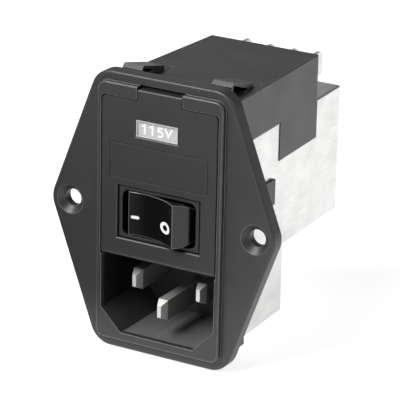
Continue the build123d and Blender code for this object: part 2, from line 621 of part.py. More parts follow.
# Fuses: glass tube, two end caps and the wire between them
for side_name, side in SIDES.items():
    middle = (-side * FUSE_X, FUSE_Z)
    bore_r = FUSE_R - FUSE_CAP_T
    with BuildPart() as glass:
        with BuildSketch(facing_rear(FUSE_FRONT_Y + FUSE_CAP_T)):
            with Locations(middle):
                Circle(bore_r)
                Circle(bore_r - FUSE_GLASS_T, mode=Mode.SUBTRACT)
        extrude(amount=FUSE_LENGTH - 2 * FUSE_CAP_T)
    write(glass.part, f"{side_name}_fuse_glass")

    with BuildPart() as caps:
        for cap_y, bore_y in ((FUSE_FRONT_Y, FUSE_FRONT_Y + FUSE_CAP_T),
                              (FUSE_REAR_Y - FUSE_CAP_LENGTH, FUSE_REAR_Y - FUSE_CAP_LENGTH)):
            with BuildSketch(facing_rear(cap_y)):
                with Locations(middle):
                    Circle(FUSE_R)
            extrude(amount=FUSE_CAP_LENGTH)
            with BuildSketch(facing_rear(bore_y)):
                with Locations(middle):
                    Circle(bore_r)
            extrude(amount=FUSE_CAP_LENGTH - FUSE_CAP_T, mode=Mode.SUBTRACT)
    write(caps.part, f"{side_name}_fuse_caps")

    with BuildPart() as wire:
        with BuildSketch(facing_rear(FUSE_FRONT_Y + FUSE_CAP_T)):
            with Locations(middle):
                RegularPolygon(FUSE_WIRE_R, WIRE_SIDES)
        extrude(amount=FUSE_LENGTH - 2 * FUSE_CAP_T)
    write(wire.part, f"{side_name}_fuse_wire")


def clip_bow(clip_y):
    """Bowed leaf under a fuse cap: two arcs one strip thickness apart."""
    crown = DRAWER_FLOOR_TOP_Z
    foot = BAY_FLOOR_Z + CLIP_T
    with BuildLine() as bow:
        ThreePointArc((clip_y - CLIP_HALF_L, foot), (clip_y, crown), (clip_y + CLIP_HALF_L, foot))
        Line((clip_y + CLIP_HALF_L, foot), (clip_y + CLIP_HALF_L, BAY_FLOOR_Z))
        ThreePointArc((clip_y + CLIP_HALF_L, BAY_FLOOR_Z), (clip_y, crown - CLIP_T),
                      (clip_y - CLIP_HALF_L, BAY_FLOOR_Z))
        Line((clip_y - CLIP_HALF_L, BAY_FLOOR_Z), (clip_y - CLIP_HALF_L, foot))
    make_face(bow.edges())


# Spring clips: the front pair has tails through the bay's floor, the rear pair risers to the blades
front_tail_y = CLIP_FRONT_Y - CLIP_HALF_L - CLIP_T / 2
riser_y = BLADE_FRONT_Y - CONTACT_GAP - CLIP_T / 2
with BuildPart() as front_clips:
    for side in (-1, 1):
        with BuildSketch(facing_side(side * FUSE_X - CLIP_W / 2)):
            clip_bow(CLIP_FRONT_Y)
            with Locations((front_tail_y, (CLIP_TAIL_Z + BAY_FLOOR_Z + CLIP_T) / 2)):
                Rectangle(CLIP_T, BAY_FLOOR_Z + CLIP_T - CLIP_TAIL_Z)
        extrude(amount=CLIP_W)
write(front_clips.part, "front_fuse_clips")

with BuildPart() as rear_clips:
    run_y = (CLIP_REAR_Y + CLIP_HALF_L, riser_y + CLIP_T / 2)
    riser_top = BLADE_TOP_Z - BLADE_H / 2
    for side in (-1, 1):
        with BuildSketch(facing_side(side * FUSE_X - CLIP_W / 2)):
            clip_bow(CLIP_REAR_Y)
            with Locations((sum(run_y) / 2, BAY_FLOOR_Z + CLIP_T / 2)):
                Rectangle(run_y[1] - run_y[0], CLIP_T)
            with Locations((riser_y, (BAY_FLOOR_Z + riser_top) / 2)):
                Rectangle(CLIP_T, riser_top - BAY_FLOOR_Z)
        extrude(amount=CLIP_W)
write(rear_clips.part, "rear_fuse_clips")

# Rear blades, upright in the rear wall of the bay
blade_names = ("outer_left", "inner_left", "inner_right", "outer_right")
for blade_name, blade_x, high_z in zip(blade_names, BLADE_X, BLADE_HIGH):
    with BuildPart() as blade:
        block(about(blade_x, BLADE_T / 2), (BLADE_FRONT_Y, BLADE_END_Y), (high_z - BLADE_H, high_z))
        chamfer(blade.edges().filter_by(Axis.X).group_by(Axis.Y)[-1], BLADE_TIP_C)
        with Locations((blade_x, BLADE_END_Y - BLADE_EYE_INSET, high_z - BLADE_H / 2)):
            Cylinder(BLADE_EYE_D / 2, BLADE_T, rotation=(0, 90, 0), mode=Mode.SUBTRACT)
    write(blade.part, f"{blade_name}_blade")

# Switch body: bezel in the door's cut-out, lip behind the door, chamber for the contacts
terminal_x = BUTTON_X
with BuildPart() as switch_body:
    block(about(0, BEZEL_HALF_W), (BEZEL_Y, SWITCH_REAR_Y), about(SWITCH_Z, BEZEL_HALF_H))
    block(about(0, BEZEL_HALF_W + SWITCH_LIP), (DECK_Y, DECK_Y + SWITCH_LIP_T),
          about(SWITCH_Z, BEZEL_HALF_H + SWITCH_LIP))
    with BuildSketch(facing_rear(BEZEL_Y)):
        with Locations((0, SWITCH_Z)):
            RectangleRounded(2 * MOUTH_HALF_W, 2 * MOUTH_HALF_H, BEZEL_MOUTH_R)
    extrude(amount=SWITCH_FLOOR_Y - BEZEL_Y, mode=Mode.SUBTRACT)
    block(about(0, MOUTH_HALF_W), (SWITCH_RIB_FRONT_Y, SWITCH_FLOOR_Y),
          about(SWITCH_Z, SWITCH_RIB_T / 2))
    with BuildSketch(Plane.XY.offset(SWITCH_Z - BEZEL_HALF_H)):
        with Locations((0, ROCKER_PIVOT_Y)):
            Circle(TRUNNION_R + TRUNNION_GAP)
    extrude(amount=2 * BEZEL_HALF_H, mode=Mode.SUBTRACT)
    for pole_z in POLES.values():
        for x in (0, terminal_x):
            block(about(x, TERMINAL_T / 2), (SWITCH_FLOOR_Y, SWITCH_REAR_Y),
                  about(pole_z, TERMINAL_W / 2), Mode.SUBTRACT)
write(switch_body.part, "switch_body")

# Rocker, in its own frame with the pivot at the origin: dished face, round ends, hollow underside
tip_y = -sqrt(ROCKER_END_R**2 - ROCKER_TIP_X**2)
skirt_x = sqrt(ROCKER_END_R**2 - ROCKER_SKIRT_Y**2)
mid_angle = (atan2(tip_y, ROCKER_TIP_X) + atan2(ROCKER_SKIRT_Y, skirt_x)) / 2
mid = (ROCKER_END_R * cos(mid_angle), ROCKER_END_R * sin(mid_angle))
with BuildPart() as rocker:
    with BuildSketch(Plane.XY.offset(-ROCKER_HALF_H)):
        with BuildLine():
            ThreePointArc((-ROCKER_TIP_X, tip_y), (0, ROCKER_DISH_Y), (ROCKER_TIP_X, tip_y))
            ThreePointArc((ROCKER_TIP_X, tip_y), mid, (skirt_x, ROCKER_SKIRT_Y))
            Line((skirt_x, ROCKER_SKIRT_Y), (-skirt_x, ROCKER_SKIRT_Y))
            ThreePointArc((-skirt_x, ROCKER_SKIRT_Y), (-mid[0], mid[1]), (-ROCKER_TIP_X, tip_y))
        make_face()
    extrude(amount=2 * ROCKER_HALF_H)
    with BuildSketch(facing_rear(-ROCKER_END_R)):
        RectangleRounded(2 * ROCKER_END_R, 2 * ROCKER_HALF_H, ROCKER_CORNER_R)
    extrude(amount=2 * ROCKER_END_R, mode=Mode.INTERSECT)
    pocket_front = ROCKER_DISH_Y + ROCKER_WALL
    block(about(0, ROCKER_TIP_X - ROCKER_WALL), (pocket_front, ROCKER_SKIRT_Y),
          about(0, ROCKER_HALF_H - ROCKER_WALL), Mode.SUBTRACT)
    with BuildSketch(facing_rear(pocket_front)):
        with GridLocations(1, 2 * POLE_OFFSET, 1, 2):
            RegularPolygon(PLUNGER_R + PLUNGER_GAP + PLUNGER_TUBE_T, 8, major_radius=False)
    extrude(amount=PLUNGER_TUBE_Y - pocket_front)
    with BuildSketch(facing_rear(pocket_front)):
        with GridLocations(1, 2 * POLE_OFFSET, 1, 2):
            Circle(PLUNGER_R + PLUNGER_GAP)
    extrude(amount=PLUNGER_TUBE_Y - pocket_front, mode=Mode.SUBTRACT)
    with BuildSketch(Plane.XY.offset(-ROCKER_HALF_H - TRUNNION_LENGTH)):
        Circle(TRUNNION_R)
    extrude(amount=TRUNNION_LENGTH)
    with BuildSketch(Plane.XY.offset(ROCKER_HALF_H)):
        Circle(TRUNNION_R)
    extrude(amount=TRUNNION_LENGTH)

# The rocker rests with its left end pressed in, which closes both poles
tilt = radians(ROCKER_TILT)
rocker_frame = Plane(origin=(0, ROCKER_PIVOT_Y, SWITCH_Z), x_dir=(cos(tilt), -sin(tilt), 0),
                     z_dir=(0, 0, 1))
write(rocker.part.moved(rocker_frame.location), "rocker")

# Plunger and spring of each pole, in the tubes of the rocker
with BuildPart() as plunger:
    with BuildSketch(Plane.XY):
        with BuildLine():
            Line((0, PLUNGER_TIP_Y - PLUNGER_LENGTH), (PLUNGER_R, PLUNGER_TIP_Y - PLUNGER_LENGTH))
            Line((PLUNGER_R, PLUNGER_TIP_Y - PLUNGER_LENGTH), (PLUNGER_R, PLUNGER_TIP_Y - PLUNGER_R))
            Line((PLUNGER_R, PLUNGER_TIP_Y - PLUNGER_R), (0, PLUNGER_TIP_Y))
            Line((0, PLUNGER_TIP_Y), (0, PLUNGER_TIP_Y - PLUNGER_LENGTH))
        make_face()
    revolve(axis=Axis.Y)
spring_start = PLUNGER_TIP_Y - PLUNGER_LENGTH - SPRING_LENGTH - 2 * SPRING_WIRE_R
with BuildPart() as spring:
    with BuildLine(mode=Mode.PRIVATE) as coil:
        Helix(SPRING_LENGTH / SPRING_TURNS, SPRING_LENGTH, SPRING_R,
              center=(0, spring_start + SPRING_WIRE_R, 0), direction=(0, 1, 0))
    steps = SPRING_TURNS * SPRING_STEPS
    with BuildLine() as coil_steps:
        Polyline(*[coil.line @ (step / steps) for step in range(steps + 1)])
    with BuildSketch(Plane(origin=coil_steps.line @ 0, z_dir=coil_steps.line % 0)):
        RegularPolygon(SPRING_WIRE_R, 4)
    sweep(transition=Transition.RIGHT)
for pole_name, pole_offset in (("upper", POLE_OFFSET), ("lower", -POLE_OFFSET)):
    pole_frame = Location(rocker_frame) * Location((0, 0, pole_offset))
    write(plunger.part.moved(pole_frame), f"{pole_name}_plunger")
    write(spring.part.moved(pole_frame), f"{pole_name}_plunger_spring")

# Contact lever of each pole, in its own frame with the fulcrum at the origin
bend = radians(LEVER_BEND)
along = (cos(bend), -sin(bend))
across = (sin(bend), cos(bend))
rear_end = (LEVER_HALF * along[0], LEVER_HALF * along[1])
front_end = (rear_end[0] - LEVER_T * across[0], rear_end[1] - LEVER_T * across[1])
button_seat = (BUTTON_X * along[0], BUTTON_X * along[1], 0)
with BuildPart() as lever:
    with BuildSketch(Plane.XY.offset(-LEVER_W / 2)):
        Polygon((0, 0), rear_end, front_end, (0, -LEVER_T / cos(bend)),
                (-front_end[0], front_end[1]), (-rear_end[0], rear_end[1]), align=None)
    extrude(amount=LEVER_W)
    with BuildSketch(Plane(origin=button_seat, x_dir=(0, 0, 1), z_dir=(*across, 0))):
        Circle(BUTTON_R)
    extrude(amount=BUTTON_T)

# Terminals of each pole: a centre blade behind the fulcrum and a side blade with a contact button
lever_tilt = radians(LEVER_TILT)
for pole_name, pole_z in POLES.items():
    lever_frame = Plane(origin=(0, LEVER_AXIS_Y, pole_z),
                        x_dir=(cos(lever_tilt), sin(lever_tilt), 0), z_dir=(0, 0, 1))
    write(lever.part.moved(lever_frame.location), f"{pole_name}_contact_lever")

    with BuildPart() as centre_terminal:
        block(about(0, TERMINAL_T / 2), (LEVER_AXIS_Y + TERMINAL_REST_GAP, TERMINAL_END_Y),
              about(pole_z, TERMINAL_W / 2))
    write(centre_terminal.part, f"{pole_name}_centre_terminal")

    reach = BUTTON_T + BUTTON_GAP
    fixed_local = (button_seat[0] + reach * across[0], button_seat[1] + reach * across[1], 0)
    fixed_origin = lever_frame.from_local_coords(fixed_local)
    fixed_normal = (sin(bend - lever_tilt), cos(bend - lever_tilt), 0)
    with BuildPart() as side_terminal:
        with BuildSketch(Plane(origin=fixed_origin, x_dir=(0, 0, 1), z_dir=fixed_normal)):
            Circle(BUTTON_R)
        extrude(amount=BUTTON_T)
        block(about(terminal_x, TERMINAL_T / 2), (fixed_origin.Y + BUTTON_T / 2, TERMINAL_END_Y),
              about(pole_z, TERMINAL_W / 2))
    write(side_terminal.part, f"{pole_name}_side_terminal")


def can_profile(inset):
    """Stepped side profile of the can, inset by a wall at every side but the open front."""
    top, rear = CAN_TOP_Z - inset, CAN_REAR_Y - inset
    with BuildLine() as side_view:
        Polyline((CAN_FRONT_Y, top), (rear, top), (rear, CAN_STEP_Z + inset),
                 (CAN_STEP_Y - inset, CAN_STEP_Z + inset), (CAN_STEP_Y - inset, CAN_BOTTOM_Z + inset),
                 (CAN_FRONT_Y, CAN_BOTTOM_Z + inset), close=True)
    make_face(side_view.edges())


# Filter can: one deep-drawn stepped box, open towards the flange, notched for skirts and shroud
with BuildPart() as can:
    with BuildSketch(facing_side(-CAN_SIDE_X)):
        can_profile(0)
    extrude(amount=2 * CAN_SIDE_X)
    with BuildSketch(Plane.XY.offset(CAN_BOTTOM_Z)):
        plan(can_x, CAN_FRONT_Y, CAN_REAR_Y)
    extrude(amount=CAN_TOP_Z - CAN_BOTTOM_Z, mode=Mode.INTERSECT)
    outer = can.edges().filter_by(lambda edge: edge.center().Y > CAN_FRONT_Y + CAN_WALL)
    concave = outer.filter_by(Axis.X).filter_by(
        lambda edge: abs(edge.center().Z - CAN_STEP_Z) + abs(edge.center().Y - CAN_STEP_Y) < CAN_WALL)
    chamfer(outer - concave, CAN_EDGE_C)
    with BuildPart(mode=Mode.PRIVATE) as can_core:
        with BuildSketch(facing_side(-CAN_SIDE_X)):
            can_profile(CAN_WALL)
        extrude(amount=2 * CAN_SIDE_X)
        with BuildSketch(Plane.XY.offset(CAN_BOTTOM_Z)):
            plan(can_x, CAN_FRONT_Y, CAN_REAR_Y, inset=CAN_WALL)
        extrude(amount=CAN_TOP_Z - CAN_BOTTOM_Z, mode=Mode.INTERSECT)
    add(can_core.part, mode=Mode.SUBTRACT)
    for side in (-1, 1):
        notch_x = sorted((side * (body_x(TOP_BODY_DEPTH) - BODY_WALL - CAN_NOTCH_GAP),
                          side * CAN_SIDE_X))
        block(notch_x, (SKIRT_FRONT_Y - CAN_NOTCH_GAP, TOP_BODY_DEPTH + CAN_NOTCH_GAP),
              (SKIRT_BOTTOM_Z - CAN_NOTCH_GAP, CAN_TOP_Z), Mode.SUBTRACT)
    block(about(0, CAN_FLOOR_NOTCH_X), (CAN_FRONT_Y, INLET_BACK_Y + INLET_BACK_T + CAN_NOTCH_GAP),
          (CAN_BOTTOM_Z, CAN_BOTTOM_Z + CAN_WALL), Mode.SUBTRACT)
write(can.part, "filter_can")

# Earth blade on the rear of the can: a foot welded to the can and a flat blade with an eye
with BuildPart() as earth_blade:
    with BuildSketch(facing_side(-EARTH_BLADE_W / 2)):
        with BuildLine():
            Polyline((CAN_REAR_Y, EARTH_BLADE_Z), (CAN_REAR_Y + EARTH_BLADE_LENGTH, EARTH_BLADE_Z),
                     (CAN_REAR_Y + EARTH_BLADE_LENGTH, EARTH_BLADE_Z + EARTH_BLADE_T),
                     (CAN_REAR_Y + EARTH_BLADE_T, EARTH_BLADE_Z + EARTH_BLADE_T),
                     (CAN_REAR_Y + EARTH_BLADE_T, EARTH_BLADE_Z + EARTH_FOOT_H),
                     (CAN_REAR_Y, EARTH_BLADE_Z + EARTH_FOOT_H), close=True)
        make_face()
    extrude(amount=EARTH_BLADE_W)
    chamfer(earth_blade.edges().filter_by(Axis.Z).group_by(Axis.Y)[-1], BLADE_TIP_C)
    with Locations((0, CAN_REAR_Y + EARTH_BLADE_LENGTH - BLADE_EYE_INSET,
                    EARTH_BLADE_Z + EARTH_BLADE_T / 2)):
        Cylinder(EARTH_EYE_D / 2, EARTH_BLADE_T, mode=Mode.SUBTRACT)
write(earth_blade.part, "earth_blade")

# Earth strap from the earth pin down to the floor of the can
strap_low = CAN_BOTTOM_Z + CAN_WALL
with BuildPart() as strap:
    with BuildSketch(facing_side(-STRAP_HALF_W)):
        with BuildLine():
            Polyline((STRAP_Y, strap_low), (STRAP_Y + STRAP_FOOT_L, strap_low),
                     (STRAP_Y + STRAP_FOOT_L, strap_low + STRAP_T),
                     (STRAP_Y + STRAP_T, strap_low + STRAP_T),
                     (STRAP_Y + STRAP_T, EARTH_PIN_Z + PIN_H / 2 + STRAP_T),
                     (STRAP_Y, EARTH_PIN_Z + PIN_H / 2 + STRAP_T), close=True)
        make_face()
    extrude(amount=2 * STRAP_HALF_W)
    block(about(0, PIN_W / 2), (STRAP_Y, STRAP_Y + STRAP_T), about(EARTH_PIN_Z, PIN_H / 2),
          Mode.SUBTRACT)
write(strap.part, "earth_strap")

# Filter board on the step of the can
board_half_w = can_x(BOARD_REAR_Y) - CAN_WALL - BOARD_SIDE_GAP
with BuildPart() as board:
    block(about(0, board_half_w), (BOARD_FRONT_Y, BOARD_REAR_Y), (BOARD_LOW_Z, BOARD_TOP_Z))
write(board.part, "filter_board")

# Choke: ring core and two windings wrapped round its left and right sides
with BuildPart() as core:
    with BuildSketch(facing_rear(CORE_Y - CORE_T / 2)):
        with Locations((0, CORE_Z)):
            Circle(CORE_R)
            Circle(CORE_BORE_R, mode=Mode.SUBTRACT)
    extrude(amount=CORE_T)
write(core.part, "choke_core")

for side_name, side in SIDES.items():
    start = radians(-WINDING_ARC / 2 if side > 0 else 180 - WINDING_ARC / 2)
    with BuildPart() as winding:
        start_plane = Plane(origin=(0, CORE_Y, CORE_Z), x_dir=(cos(start), 0, sin(start)),
                            z_dir=(sin(start), 0, -cos(start)))
        with BuildSketch(start_plane):
            with Locations(((CORE_R + CORE_BORE_R) / 2, 0)):
                Rectangle(CORE_R - CORE_BORE_R + 2 * WINDING_T, CORE_T + 2 * WINDING_T)
                Rectangle(CORE_R - CORE_BORE_R, CORE_T, mode=Mode.SUBTRACT)
        revolve(axis=Axis((0, CORE_Y, CORE_Z), (0, -1, 0)), revolution_arc=WINDING_ARC)
    write(winding.part, f"{side_name}_winding")

# X capacitor behind the choke
with BuildPart() as x_capacitor:
    block(about(0, XCAP_W / 2), about(XCAP_Y, XCAP_T / 2), (BOARD_TOP_Z, BOARD_TOP_Z + XCAP_H))
    fillet(x_capacitor.edges().filter_by(Axis.Z), XCAP_EDGE_R)
write(x_capacitor.part, "x_capacitor")

# Bleed resistor between choke and X capacitor, with its two bent leads
resistor_z = BOARD_TOP_Z + RESISTOR_LIFT + RESISTOR_R
with BuildPart() as resistor:
    with BuildSketch(facing_side(-RESISTOR_LENGTH / 2)):
        with Locations((RESISTOR_Y, resistor_z)):
            Circle(RESISTOR_R)
    extrude(amount=RESISTOR_LENGTH)
    lead_x = RESISTOR_LEAD_SPAN / 2
    with BuildLine() as bent_lead:
        Polyline((-lead_x, RESISTOR_Y, BOARD_TOP_Z), (-lead_x, RESISTOR_Y, resistor_z),
                 (lead_x, RESISTOR_Y, resistor_z), (lead_x, RESISTOR_Y, BOARD_TOP_Z))
    with BuildSketch(Plane(origin=bent_lead.line @ 0, z_dir=bent_lead.line % 0)):
        RegularPolygon(COMPONENT_LEAD_R, WIRE_SIDES)
    sweep(transition=Transition.RIGHT)
write(resistor.part, "bleed_resistor")

# Y capacitors: discs between the earth pin and the outer pins, with a lead to each
pin_side_x = PIN_SPACING / 2 - PIN_W / 2
for side_name, side in SIDES.items():
    with BuildPart() as y_capacitor:
        with BuildSketch(facing_side(side * YCAP_X - YCAP_T / 2)):
            with Locations((YCAP_Y, YCAP_Z)):
                Circle(YCAP_R)
        extrude(amount=YCAP_T)
        inner = sorted((side * PIN_W / 2, side * YCAP_X))
        with BuildSketch(facing_side(inner[0])):
            with Locations((YCAP_Y, EARTH_PIN_Z + PIN_H / 4)):
                RegularPolygon(COMPONENT_LEAD_R, WIRE_SIDES)
        extrude(amount=inner[1] - inner[0])
        outer_span = sorted((side * YCAP_X, side * pin_side_x))
        with BuildSketch(facing_side(outer_span[0])):
            with Locations((YCAP_Y, PIN_Z - PIN_H / 4)):
                RegularPolygon(COMPONENT_LEAD_R, WIRE_SIDES)
        extrude(amount=outer_span[1] - outer_span[0])
    write(y_capacitor.part, f"{side_name}_y_capacitor")


def lead(name, *points):
    """An insulated wire along straight runs, mitred where it turns."""
    with BuildPart() as wire_part:
        with BuildLine() as route:
            Polyline(*points)
        with BuildSketch(Plane(origin=route.line @ 0, z_dir=route.line % 0)):
            RegularPolygon(WIRE_R, WIRE_SIDES)
        sweep(transition=Transition.RIGHT)
    write(wire_part.part, name)


# Leads from the outer pins to the board
pin_lead_y = PIN_REAR_Y + PIN_LEAD_REACH
for side_name, side in SIDES.items():
    x = side * PIN_SPACING / 2
    lead(f"{side_name}_pin_lead", (x, PIN_REAR_Y, PIN_Z), (x, pin_lead_y, PIN_Z),
         (x, pin_lead_y, BOARD_LOW_Z))

# Leads from the board to the centre terminals of the switch
board_lead_y = BOARD_FRONT_Y + SWITCH_LEAD_INSET
for pole_name, side in (("upper", -1), ("lower", 1)):
    pole_z = POLES[pole_name]
    lead(f"{pole_name}_switch_lead", (0, TERMINAL_END_Y, pole_z),
         (0, TERMINAL_END_Y + SWITCH_LEAD_REACH, pole_z),
         (side * SWITCH_LEAD_X, board_lead_y, BOARD_TOP_Z + SWITCH_LEAD_RISE),
         (side * SWITCH_LEAD_X, board_lead_y, BOARD_TOP_Z))

# Leads from the side terminals of the switch to the tails of the front fuse clips
lead_z = CLIP_TAIL_Z - FUSE_LEAD_DROP
for side_name, pole_name in (("right", "upper"), ("left", "lower")):
    pole_z = POLES[pole_name]
    side = SIDES[side_name]
    turn_y = TERMINAL_END_Y + FUSE_LEAD_REACH[side_name]
    lead(f"{side_name}_fuse_lead", (terminal_x, TERMINAL_END_Y, pole_z), (terminal_x, turn_y, pole_z),
         (side * FUSE_LEAD_X, turn_y, lead_z), (side * FUSE_X, front_tail_y, lead_z),
         (side * FUSE_X, front_tail_y, CLIP_TAIL_Z))
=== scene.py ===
import math

import bpy
import numpy as np
from mathutils import Matrix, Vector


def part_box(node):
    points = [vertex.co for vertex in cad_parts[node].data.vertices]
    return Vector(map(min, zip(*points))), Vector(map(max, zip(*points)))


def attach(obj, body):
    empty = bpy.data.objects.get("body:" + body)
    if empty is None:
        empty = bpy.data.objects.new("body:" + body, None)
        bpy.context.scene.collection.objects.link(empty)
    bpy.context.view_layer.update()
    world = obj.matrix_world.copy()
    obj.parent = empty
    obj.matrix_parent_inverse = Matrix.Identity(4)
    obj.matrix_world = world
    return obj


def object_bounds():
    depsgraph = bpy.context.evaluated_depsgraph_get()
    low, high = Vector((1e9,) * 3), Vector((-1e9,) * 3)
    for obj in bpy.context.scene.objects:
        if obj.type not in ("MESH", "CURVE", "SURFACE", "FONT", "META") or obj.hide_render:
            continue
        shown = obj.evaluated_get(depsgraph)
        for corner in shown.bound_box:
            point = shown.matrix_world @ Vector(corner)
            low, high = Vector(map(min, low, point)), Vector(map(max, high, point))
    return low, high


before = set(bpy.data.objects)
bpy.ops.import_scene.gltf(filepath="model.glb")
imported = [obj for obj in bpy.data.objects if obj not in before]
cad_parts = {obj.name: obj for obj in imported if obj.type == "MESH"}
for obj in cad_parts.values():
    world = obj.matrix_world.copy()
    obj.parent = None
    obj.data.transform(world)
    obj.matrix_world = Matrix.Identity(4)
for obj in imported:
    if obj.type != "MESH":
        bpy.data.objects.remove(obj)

cad_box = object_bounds()

# Camera: a long lens in front of the module, to its right and above it, with the slight roll of
# the photograph. Its place, in millimetres, was fitted to the straight edges of flange, frame and
# can.
MM = 0.001
AZIMUTH, ELEVATION, ROLL = math.radians(29.81), math.radians(19.97), math.radians(1.22)
DISTANCE, AIM_X, AIM_Y = 487.1, -7.32, -3.57
FITTED_FRONT_Y = -2.8
FOCAL_PIXELS, FRAME_PIXELS, SENSOR = 2617.6, 400, 36.0
NEAR_CLIP_M, FAR_CLIP_M = 0.01, 20.0

back = np.array([math.sin(AZIMUTH) * math.cos(ELEVATION),
                 -math.cos(AZIMUTH) * math.cos(ELEVATION), math.sin(ELEVATION)])
level_right = np.array([math.cos(AZIMUTH), math.sin(AZIMUTH), 0.0])
level_up = np.cross(back, level_right)
right = math.cos(ROLL) * level_right + math.sin(ROLL) * level_up
up = math.cos(ROLL) * level_up - math.sin(ROLL) * level_right
stand = -AIM_X * right - AIM_Y * up + DISTANCE * back + np.array([0.0, FITTED_FRONT_Y, 0.0])
camera_data = bpy.data.cameras.new("camera")
camera_data.sensor_width = SENSOR
camera_data.lens = SENSOR * FOCAL_PIXELS / FRAME_PIXELS
camera_data.clip_start, camera_data.clip_end = NEAR_CLIP_M, FAR_CLIP_M
camera = bpy.data.objects.new("camera", camera_data)
bpy.context.scene.collection.objects.link(camera)
placed = np.eye(4)
placed[:3, 0], placed[:3, 1], placed[:3, 2], placed[:3, 3] = right, up, back, stand * MM
camera.matrix_world = Matrix(placed.tolist())
bpy.context.scene.camera = camera

# Studio: a dim even surround and four soft boxes. Crown and front hang over the front left and
# light the upper front edges and the inlet's floor. Rim stands behind the left, where the top
# faces mirror it. Key makes the right sides and the table beside them white.
SURROUND_LEVEL = 0.10
SOFT_BOXES = {  # place in metres, side in metres, power in watts
    "crown": ((-0.374, -0.273, 0.652), 0.30, 3.0),
    "front": ((-0.18, -0.52, 0.56), 0.30, 6.0),
    "rim": ((-0.374, 0.652, 0.300), 0.40, 0.14),
    "key": ((0.55, 0.15, 0.42), 0.45, 1.2)}


def hex_to_linear(code):
    """Linear red, green, blue and alpha of an sRGB hex colour: a channel c up to 0.04045 becomes
    c / 12.92, and a higher one ((c + 0.055) / 1.055)^2.4."""
    srgb = np.array([int(code[i:i + 2], 16) for i in (1, 3, 5)]) / 255
    low, high = srgb / 12.92, ((srgb + 0.055) / 1.055) ** 2.4
    return (*np.where(srgb <= 0.04045, low, high).tolist(), 1.0)


def soft_light(name, at, size, watts):
    """Square area light at a point in metres, turned towards the middle of the module."""
    light = bpy.data.lights.new(name, "AREA")
    light.energy, light.size = watts, size
    lamp = bpy.data.objects.new(name, light)
    bpy.context.scene.collection.objects.link(lamp)
    away = np.array(at) / np.linalg.norm(at)
    side = np.cross([0.0, 0.0, 1.0], away)
    side /= np.linalg.norm(side)
    turned = np.eye(4)
    turned[:3, 0], turned[:3, 1], turned[:3, 2] = side, np.cross(away, side), away
    turned[:3, 3] = at
    lamp.matrix_world = Matrix(turned.tolist())


surround = bpy.data.worlds.new("studio")
surround.use_nodes = True
backdrop = surround.node_tree.nodes["Background"].inputs
backdrop["Color"].default_value = hex_to_linear("#ffffff")
backdrop["Strength"].default_value = SURROUND_LEVEL
bpy.context.scene.world = surround
bpy.context.scene.view_settings.view_transform = "Standard"
for box_name, (at, size, watts) in SOFT_BOXES.items():
    soft_light(box_name, at, size, watts)

# Inlet housing: one moulding of black glass-filled polyester from an eroded tool, so it has a satin
# face with a very fine grain, drawn coarser than the real tenth of a millimetre. Inside the inlet
# the colour is darkened to near black as painted shade. The inlet's floor and back are lightened to
# a grey in long lines: partly wear where plugs slide over the floor and meet the back, partly
# painted light on the faces that look up and towards the front.
INLET_ZONE = [("X", -12.6, 1), ("X", 12.6, -1), ("Z", -5.0, -1), ("Y", -2.75, 1), ("Y", 16.0, -1)]
INLET_BORDER = 0.03
FLOOR_FROM, FLOOR_FULL = 0.60, 1.0  # how far up a face looks to take the painted light and wear
BACK_FROM, BACK_FULL, BACK_LIGHT_AND_WEAR = -0.6, -1.0, 0.35  # how far forward, and the share of painted light and wear there
PLUG_LINE_WIDE, PLUG_LINE_LONG = 0.5, 12
PATCH_FROM, PATCH_FULL, PATCH_LEAST = 0.2, 0.6, 0.75


def add_node(tree, kind, settings=None, values=None, links=None):
    """One shader node: settings are its properties, values go on its unlinked inputs, and links
    names the socket that feeds each linked input."""
    made = tree.nodes.new(kind)
    for key, value in (settings or {}).items():
        setattr(made, key, value)
    for key, value in (values or {}).items():
        made.inputs[key].default_value = value
    for key, source in (links or {}).items():
        tree.links.new(source, made.inputs[key])
    return made


def new_finish(name, shader):
    """A material with one Principled shader, given its fixed values."""
    material = bpy.data.materials.new(name)
    material.use_nodes = True
    for key, value in shader.items():
        material.node_tree.nodes["Principled BSDF"].inputs[key].default_value = value
    return material


def dress(material, *names):
    """Puts a finished material on CAD nodes."""
    for name in names:
        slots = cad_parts[name].data.materials
        slots.clear()
        slots.append(material)


def zone_mask(tree, where, limits_mm, soft_mm):
    """1 inside a box of the object's own coordinates and 0 outside it, with a soft border: the
    product of one ramp for each limit, given as (axis, edge in mm, +1 above it or -1 below it)."""
    axes = add_node(tree, "ShaderNodeSeparateXYZ", links={"Vector": where})
    mask = None
    for axis, edge_mm, side in limits_mm:
        ramp = add_node(tree, "ShaderNodeMapRange",
                        values={"From Min": (edge_mm - side * soft_mm) * MM,
                                "From Max": (edge_mm + side * soft_mm) * MM},
                        links={"Value": axes.outputs[axis]}).outputs["Result"]
        mask = ramp if mask is None else add_node(
            tree, "ShaderNodeMath", {"operation": "MULTIPLY"},
            links={0: mask, 1: ramp}).outputs["Value"]
    return mask


